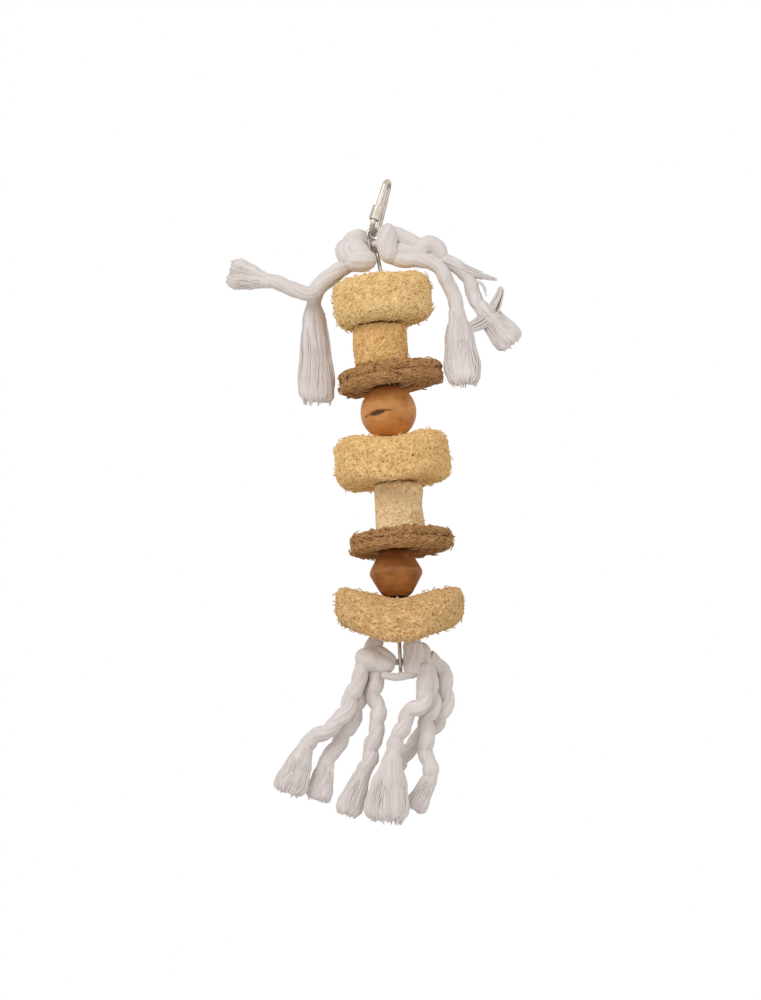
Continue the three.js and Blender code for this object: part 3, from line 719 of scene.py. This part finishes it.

# Soft cotton: a matt, faintly pink white with random stains, painted greyer where its yarn bump sinks, as
# shade between the yarns, and with a sheen of loose fibre.
cotton = bpy.data.materials.new("soft_cotton")
cotton.use_nodes = True
tree = cotton.node_tree
yarn_width = 0.8
yarn_run = 18
cotton_uv = add_node(tree, "ShaderNodeTexCoord", {}).outputs["UV"]
yarn_map = add_node(tree, "ShaderNodeMapping", {
    "Vector": cotton_uv, "Scale": (1 / yarn_width, 1 / yarn_run, 1)})
yarn_noise = add_node(tree, "ShaderNodeTexNoise", {
    "Vector": yarn_map.outputs[0], "Scale": 1, "Detail": 3, "Roughness": 0.6})
cotton_place = add_node(tree, "ShaderNodeTexCoord", {}).outputs["Object"]
stain_noise = add_node(tree, "ShaderNodeTexNoise", {
    "Vector": cotton_place, "Scale": 1 / (16 * MM), "Detail": 2})
# The yarn noise that bumps the surface also greys it where it sinks: painted shade between the yarns.
cotton_tone = add_node(tree, "ShaderNodeValToRGB", {"Fac": yarn_noise.outputs["Fac"]})
cotton_tone.color_ramp.elements[0].position = 0.3
cotton_tone.color_ramp.elements[0].color = linear("#d6ccc8")
cotton_tone.color_ramp.elements[1].position = 0.62
cotton_tone.color_ramp.elements[1].color = linear("#ede5e1")
stain_share = add_node(tree, "ShaderNodeMapRange", {
    "Value": stain_noise.outputs["Fac"], "From Min": 0.42, "From Max": 0.75, "To Max": 0.6})
cotton_colour = add_node(tree, "ShaderNodeMix", {
    0: stain_share.outputs[0], 6: cotton_tone.outputs[0], 7: linear("#d6cac2")}, data_type="RGBA")
cotton_bump = add_node(tree, "ShaderNodeBump", {
    "Height": yarn_noise.outputs["Fac"], "Strength": 0.35, "Distance": 0.4 * MM})
cotton_shader = tree.nodes["Principled BSDF"]
cotton_shader.inputs["Roughness"].default_value = 0.92
cotton_shader.inputs["Specular IOR Level"].default_value = 0.2
cotton_shader.inputs["Sheen Weight"].default_value = 0.25
tree.links.new(cotton_colour.outputs[2], cotton_shader.inputs["Base Color"])
tree.links.new(cotton_bump.outputs[0], cotton_shader.inputs["Normal"])


def mm_points(tie, places):
    """Points given in millimetres from the link that the rope is tied through."""
    return [tie + Vector(place) * MM for place in places]


def laid_rope(name, route, diameter, swell, lay=ply_lay, resolution=6):
    """A soft bundle of yarns along a smooth route. swell gives its thickness at each point as a share."""
    curve = smooth_curve(name, route, resolution)
    run = 0
    knots = curve.splines[0].bezier_points
    for index, (knot, share) in enumerate(zip(knots, swell)):
        if index:
            run += (route[index] - route[index - 1]).length
        knot.tilt = 2 * math.pi * run / lay
        knot.radius = share
    section = bpy.data.curves.new("section", "CURVE")
    section.dimensions = "2D"
    ring = section.splines.new("POLY")
    corners = corners_a_yarn * yarns_round
    ring.points.add(corners - 1)
    ring.use_cyclic_u = True
    for index, corner in enumerate(ring.points):
        angle = 2 * math.pi * index / corners
        bulge = 1 - yarn_groove * (1 - abs(math.sin(yarns_round * angle / 2)))
        corner.co = (bulge * diameter / 2 * math.cos(angle), bulge * diameter / 2 * math.sin(angle), 0, 1)
    section_object = add_object("section", section)
    curve.bevel_mode = "OBJECT"
    curve.bevel_object = section_object
    curve.use_fill_caps = True
    mesh = as_mesh(name, curve)
    bpy.data.objects.remove(section_object)
    for corner in mesh.uv_layers[0].data:
        corner.uv = (corner.uv[1] * math.pi * diameter / MM, corner.uv[0] * run / MM)
    for vert in mesh.vertices:
        lumps = 0.45 * noise.noise(vert.co / (6 * MM)) + 0.15 * noise.noise(vert.co / (2 * MM))
        vert.co += vert.normal * lumps * MM
    mesh.shade_smooth()
    return mesh


def round_nosed(route, diameter, fullness):
    """A route carried on into a round nose at each end, with its thickness at each point as a share."""
    nose = ((1, 0.15), (0.87, 0.5), (0.5, 0.87))
    back = (route[0] - route[1]).normalized() * diameter / 2
    on = (route[-1] - route[-2]).normalized() * diameter / 2
    points = [route[0] + back * out for out, _ in nose] + route
    points += [route[-1] + on * out for out, _ in reversed(nose)]
    shares = [share for _, share in nose]
    middles = [1 + (fullness - 1) * math.sin(math.pi * (index + 1) / (len(route) + 1))
               for index in range(len(route))]
    return points, shares + middles + shares[::-1]


# The top rope counts from the middle of what its neighbours leave of the first link's eye, and the bottom
# one from half a plain link above the last link's foot.
top_low, top_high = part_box("chain_link_01")
top_tie = (Vector(top_low) + Vector(top_high)) / 2 + to_free_eye
bottom_low, bottom_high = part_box("chain_link_18")
bottom_tie = (Vector(bottom_low) + Vector(bottom_high)) / 2
bottom_tie.z -= (end_eye_length - eye_length) / 2

# Each roll's thickness, its fullness half way along, and its route in millimetres.
knots = {
    "top_left_knot": ("top_rope", top_tie, [
        (8.6, 1, [(-1.4, 6.8, 0.5), (-4.6, 6, 2), (-8, 3.6, 2.8)]),
        (10.4, 1.1, [(-6.8, 3, 3), (-9.6, 1.6, 3.4), (-12.4, 0.4, 2)]),
        (11.2, 1.1, [(-15.2, -1.6, -1.8), (-15, -2.2, -4.2), (-13.2, -2.8, -6.6)]),
        (10, 1.1, [(-12, -2.2, -0.8), (-9.6, -3.4, -3), (-7.2, -3.6, -5)]),
        (10.2, 1.12, [(-12, -4.4, -9.2), (-8.4, -5.6, -9.4), (-4.8, -5.8, -8.8)])]),
    "top_right_knot": ("top_rope", top_tie, [
        (3.4, 1, [(0, 1.6, 0), (0, -4, 0), (6.1, -6.2, -0.5)]),
        (9.6, 1.12, [(6.6, -6.8, 5), (6, -7, -1), (6.7, -7, -7)]),
        (7.4, 1.12, [(7.6, -5.5, 4), (11.8, -4.8, 3.8), (16.6, -4, 1.2), (22, -2.6, -1.6)]),
        (9.2, 1.14, [(12, -4, -4.6), (17.2, -3.6, -5.8), (22.6, -2.8, -7)]),
        (9, 1.14, [
            (23.4, -2.6, -6.8), (24.6, -2.8, -4), (28.4, -2.6, -2.2), (32, -1.8, -4.4), (33.2, -1, -7.6)]),
        (8.6, 1.1, [(25.4, -1, -6.6), (28.6, -0.8, -7.4), (31.4, -0.6, -8.4)])]),
    "bottom_left_knot": ("chain", bottom_tie, [
        (3.4, 1, [(-8.6, -1, -1.9), (-4, 0, -2), (2, 0, -2)]),
        (11.4, 1.06, [(-17.6, -3.4, 0.2), (-16.2, -4, -0.6), (-14.4, -4, -1.6)]),
        (9, 1.08, [(-16, -4, -0.8), (-11.6, -4, -2.6), (-7.4, -3.6, -4)]),
        (6.4, 1.08, [(-12.4, -1, 4.4), (-8.2, -2, 2), (-5, -2, -1)]),
        (8.2, 1.06, [(-15.6, 3, 0.1), (-14.2, 2, 5.6), (-12, 0.4, 9.2)])]),
    "bottom_right_knot": ("chain", bottom_tie, [
        (9.8, 1.1, [(6.8, -4, 5.6), (7, -4.6, -0.8), (6.4, -4.6, -6.6)]),
        (8.6, 1.08, [(11.4, 1, 3.5), (12.4, 1, -1.9), (12.4, 0, -6.9)]),
        (4.2, 1, [(7.6, -4.5, -8.6), (2.6, -6, -10.4), (-3.4, -6.4, -10.6), (-8.2, -6.2, -9.6)])]),
}
for node, (body, tie, rolls) in knots.items():
    knot_bm = bmesh.new()
    for thickness, fullness, places in rolls:
        points, swell = round_nosed(mm_points(tie, places), thickness * MM, fullness)
        roll = laid_rope(node, points, thickness * MM, swell, lay=knot_lay, resolution=8)
        knot_bm.from_mesh(roll)
        bpy.data.meshes.remove(roll)
    knot_mesh = bpy.data.meshes.new(f"{node}_rolls")
    knot_bm.to_mesh(knot_mesh)
    knot_bm.free()
    knot = add_object(f"{node}_rolls", knot_mesh)
    knot.data.materials.append(cotton)
    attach(knot, body)
    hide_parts(node)


# Rope tails. Below the knots the rope is unlaid into single soft plies that hang limp, and keep the wave and
# the knuckles of the lay, the bottom ones most. Each cut end is combed out into an open, ragged brush.
crimp = 0.9 * MM
crimp_pitch = 15 * MM
slack_ply = 1.05
knuckle = 0.17
end_core = 0.45
end_swell = [0.8, 0.5]
brush_root = 3 * MM
strands_a_mm = 3.2


def centre_line(route, resolution=5):
    """Points along the smooth curve through the route."""
    line = as_mesh("line", smooth_curve("line", route, resolution))
    places = [v.co.copy() for v in line.vertices]
    bpy.data.meshes.remove(line)
    return places


def line_length(line):
    """The length of a line of points."""
    return sum((end - start).length for start, end in zip(line, line[1:]))


def crimped(route, kept, seed):
    """The smooth line of a ply with the wave kept in it, and its thickness at each point as a share."""
    phase = random.Random(seed).uniform(0, 2 * math.pi)
    line = centre_line(route)
    whole = line_length(line)
    run = 0
    points = []
    shares = []
    for index, place in enumerate(line):
        before = line[max(index - 1, 0)]
        ahead = (line[min(index + 1, len(line) - 1)] - before).normalized()
        run += (place - before).length
        side = ahead.cross(Vector((0, 1, 0))).normalized()
        turn = 2 * math.pi * run / crimp_pitch + phase
        held = min(1, run / crimp_pitch, (whole - run) / crimp_pitch)
        wave = side * math.cos(turn) + ahead.cross(side) * math.sin(turn)
        points.append(place + wave * (crimp * kept * held))
        shares.append(slack_ply + knuckle * kept * abs(math.sin(turn)))
    return points, shares


def brush_place(brush, along, angle, out):
    """A point of a brush at a share of its length, an angle round it and a share out from its middle."""
    foot, heading, length, width, opening = brush
    narrow = opening / width
    # Shares of the length, and of the half width there.
    spread = ((-brush_root / length, 0.6 * narrow), (0.1, narrow), (0.45, 0.8), (0.8, 1), (1.4, 1))
    half_width = width / 2 * spread[0][1]
    for (start, thin), (end, wide) in zip(spread, spread[1:]):
        if start <= along <= end:
            share = (along - start) / (end - start)
            half_width = width / 2 * (thin + (wide - thin) * share * share * (3 - 2 * share))
    half_depth = half_width * (1 - 0.45 * min(1, 2 * max(0, along)))
    across = heading.cross(Vector((0, 1, 0))).normalized()
    depth = across.cross(heading)
    side = across * (out * half_width * math.cos(angle)) + depth * (out * half_depth * math.sin(angle))
    return foot + heading * (length * along) + side


def brush_body(brush, seed):
    """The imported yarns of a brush: a soft wedge, folded along its length, with a ragged open end."""
    _, _, length, width, _ = brush
    bm = bmesh.new()
    bm.loops.layers.uv.new("UVMap")
    bmesh.ops.create_grid(bm, x_segments=144, y_segments=48, size=0.5, calc_uvs=True)
    uv_layer = bm.loops.layers.uv.active
    for face in bm.faces:
        for loop in face.loops:
            loop[uv_layer].uv = (loop[uv_layer].uv[0] * 2.4 * width / MM, loop[uv_layer].uv[1] * length / MM)
    shift = Vector((random.Random(seed).uniform(0, 50), 0, 0))
    root = -brush_root / length
    rounded = 0.26 * width / length
    end_rows = 0.3
    for vert in bm.verts:
        angle = 2 * math.pi * (vert.co.x + 0.5)
        row = vert.co.y + 0.5
        closing = 1
        along = root + row / (1 - end_rows) * (1 - rounded - root)
        if row > 1 - end_rows:
            turn = math.pi / 2 * (row - 1 + end_rows) / end_rows
            along = 1 - rounded + rounded * math.sin(turn)
            closing = max(0, math.cos(turn)) ** 0.55
        round_it = Vector((math.cos(angle), math.sin(angle), 0))
        down_it = Vector((0, 0, along))
        opened = min(1, 2.5 * max(0, along))
        folds = 0.2 * noise.noise(1.5 * round_it + 0.9 * down_it + shift)
        yarns = 0.15 * abs(noise.noise(6 * round_it + 1.5 * down_it + shift))
        ragged = 2.2 * noise.noise(2 * round_it + shift) + 1.6 * noise.noise(7 * round_it + shift)
        ending = along + ragged * MM / length * closing * opened * opened
        vert.co = brush_place(brush, ending, angle, (1 + opened * (folds - yarns)) * closing)
    bmesh.ops.remove_doubles(bm, verts=bm.verts[:], dist=1e-5)
    bmesh.ops.holes_fill(bm, edges=[edge for edge in bm.edges if edge.is_boundary], sides=0)
    bmesh.ops.recalc_face_normals(bm, faces=bm.faces[:])
    return bm


def combed_out(brush, strands, seed):
    """Lines of the yarns that lie loose on a brush, some of which pass its end."""
    draw = random.Random(seed)
    steps = 8
    lines = []
    for _ in range(strands):
        angle = draw.uniform(0, 2 * math.pi)
        start = draw.uniform(0.05, 0.6)
        reach = draw.uniform(0.9, 1.05)
        out = draw.uniform(0.9, 1.03)
        phase = Vector((draw.uniform(0, 90), 0, 0))
        line = []
        for step in range(steps + 1):
            along = start + (reach - start) * step / steps
            turn = angle + 0.35 * noise.noise(Vector((0, 0, 2.6 * along)) + phase)
            line.append(brush_place(brush, along, turn, out * (1 - 0.25 * max(0, along - 0.8) / 0.2)))
        lines.append(line)
    return lines


def come_away(route, strands, spread, seed):
    """Lines of yarns that have come away together along a route, closer at its tip."""
    draw = random.Random(seed)
    followed = centre_line(route, 3)
    lines = []
    for _ in range(strands):
        aside = Vector((draw.uniform(-1, 1), draw.uniform(-1, 1), draw.uniform(-1, 1))) * spread
        last = draw.randint(len(followed) * 3 // 4, len(followed))
        lines.append([place + aside * (1 - 0.7 * index / len(followed))
                      for index, place in enumerate(followed[:last])])
    return lines


# Each tail's brush (its width, how thick the rope is where it starts, and its tip) and its route, in
# millimetres from inside the knot.
top_tails = {
    "top_left_out": (16.5, 8.6, (-76.6, -2, -11.2), [
        (-14.1, -1, -10.4), (-23.8, -5, -15.4), (-30.4, -5, -21), (-36.2, -4.4, -24.8),
        (-41.9, -4, -23.4), (-47.9, -3, -19.8), (-53.4, -2, -17.6), (-57.6, -2, -16.8)]),
    "top_left_down": (19, 11.5, (-34.3, 14, -79.4), [
        (-13.9, 0.5, -9.5), (-20.6, 3.8, -13.6), (-28, 5, -18.8), (-32.8, 7.5, -24.6), (-33.8, 9.5, -29.4)]),
    "top_right_down": (19, 8.8, (42.8, -8, -77), [
        (9.3, -5.5, -8.1), (13.8, -6.5, -10.2), (20.8, -7, -10.4), (29.4, -6.6, -12.4),
        (35.8, -6.4, -20.8), (39.2, -6, -29), (40.4, -6, -35.6)]),
    "top_right_out": (15.5, 8, (68.8, -1, -56), [
        (30.9, -1, -7.4), (36.9, -1, -11.1), (43.4, -1, -14.5), (47.6, -1, -20.2),
        (49.6, -1, -27.4), (51.6, -1, -33.4)]),
}
bottom_tails = {
    "bottom_1": (17.5, 9, (-61.4, -4, -68), [
        (-19.5, -3, -4.3), (-22.3, -4.5, -11.8), (-25, -5, -18.4), (-28.8, -5, -25.6),
        (-33.1, -5, -32.1), (-39.6, -5, -36.6), (-45.6, -4.5, -39.6), (-50.6, -4, -43.6)]),
    "bottom_2": (14, 8.8, (-46.2, 3, -71.4), [
        (-17.2, 1.5, -3), (-19.9, 4, -12.1), (-21.9, 4.5, -18.5), (-23.8, 4.5, -25.1),
        (-27, 4.5, -32.3), (-31.7, 4.5, -39.5), (-36.4, 4, -46), (-40.4, 3.4, -51.4)]),
    "bottom_3": (13.5, 8.6, (-31.6, 0, -80.2), [
        (-11.8, -1, -4.4), (-13.2, 0, -11.5), (-14.3, 0, -19.6), (-12.9, 0, -27.1),
        (-12.8, 0, -33.7), (-15.6, 0, -41), (-16.7, 0, -47.6), (-18.4, 0, -53), (-21.4, 0, -58)]),
    "bottom_4": (22, 11, (-10.8, -7, -85.4), [
        (10.8, -4, -5.9), (11.9, -6, -12.9), (12.2, -7, -19.8), (9.1, -7, -26.3),
        (3.8, -7, -30.1), (0.4, -7, -34.4), (-1.4, -7, -39.8), (-4.5, -7, -45.6), (-6.4, -7, -51.6)]),
    "bottom_5": (11.5, 8.8, (3.6, 3, -79), [
        (13.1, 1, -3), (14.9, 1, -12), (15.8, 1, -19.4), (15.3, 1, -26.8),
        (12.4, 1, -33.3), (11.5, 1, -39.9), (11.8, 1, -46.6), (11.2, 1, -52.5),
        (13, 1, -58.1), (12.8, 1.5, -63)]),
    "bottom_6": (11, 8.6, (-13.2, 10, -65.2), [
        (14.7, 2, 0), (19.9, 5, -4.5), (22.7, 6, -12.3), (23, 7, -20.3),
        (21.5, 8, -27.4), (18.2, 9, -33), (12.9, 9.5, -36.8), (6.8, 10, -42),
        (2.2, 10, -46.9), (-1.7, 10, -51.5)]),
}
# Yarns that have come away from the right-hand tail at the top: how many, how far they spread, and a route.
loose_yarns = {
    "top_right_out": [
        (46, 2.6, [(33, -2, -9.6), (41.5, -2.6, -14), (49.7, -3, -17.8), (56, -2.6, -20), (62, -2, -22)]),
        (34, 3.2, [(57, -1.5, -41), (60.4, -2.5, -36), (63, -2.6, -31), (64.6, -2.5, -26.4)]),
        (12, 0.9, [(50, -2, -22), (54.5, -4, -24), (56.8, -4, -30.5)]),
        (70, 3.2, [(56.5, -1.5, -42), (52.4, -3, -45), (46.4, -5.4, -48), (41.5, -6.5, -52)]),
    ],
}
loose_width = 0.9 * MM

# The body and link that each rope hangs on, its tails, and how much of the lay's wave they have kept.
ropes = (("top_rope", top_tie, top_tails, 0.35), ("chain", bottom_tie, bottom_tails, 1))
for body, tie, tails, kept in ropes:
    for label, (brush_width, opening, tip, places) in tails.items():
        route = mm_points(tie, places)
        combed = tie + Vector(tip) * MM - route[-1]
        brush = (route[-1], combed.normalized(), combed.length, brush_width * MM, opening * MM)
        path, swell = crimped(route, kept, label)
        path += [route[-1] + combed * end_core * share for share in (0.5, 1)]
        swell += end_swell
        rope = laid_rope(f"{label}_rope", path, rope_diameter, swell, resolution=2)
        tail = add_object(f"{label}_rope", rope)
        tail.data.materials.append(cotton)
        brush_bm = brush_body(brush, label)
        lines = combed_out(brush, round(strands_a_mm * brush_width), label)
        for count, spread, loose in loose_yarns.get(label, []):
            lines += come_away(mm_points(tie, loose), count, spread * MM, label)
        yarns = strands_mesh(f"{label}_yarns", lines, loose_width)
        brush_bm.from_mesh(yarns)
        bpy.data.meshes.remove(yarns)
        brush_mesh = bpy.data.meshes.new(f"{label}_brush")
        brush_bm.to_mesh(brush_mesh)
        brush_bm.free()
        brush_mesh.shade_smooth()
        brush_end = add_object(f"{label}_brush", brush_mesh)
        brush_end.data.materials.append(cotton)
        for piece, node in ((tail, f"{label}_tail"), (brush_end, f"{label}_fray")):
            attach(piece, body)
            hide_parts(node)
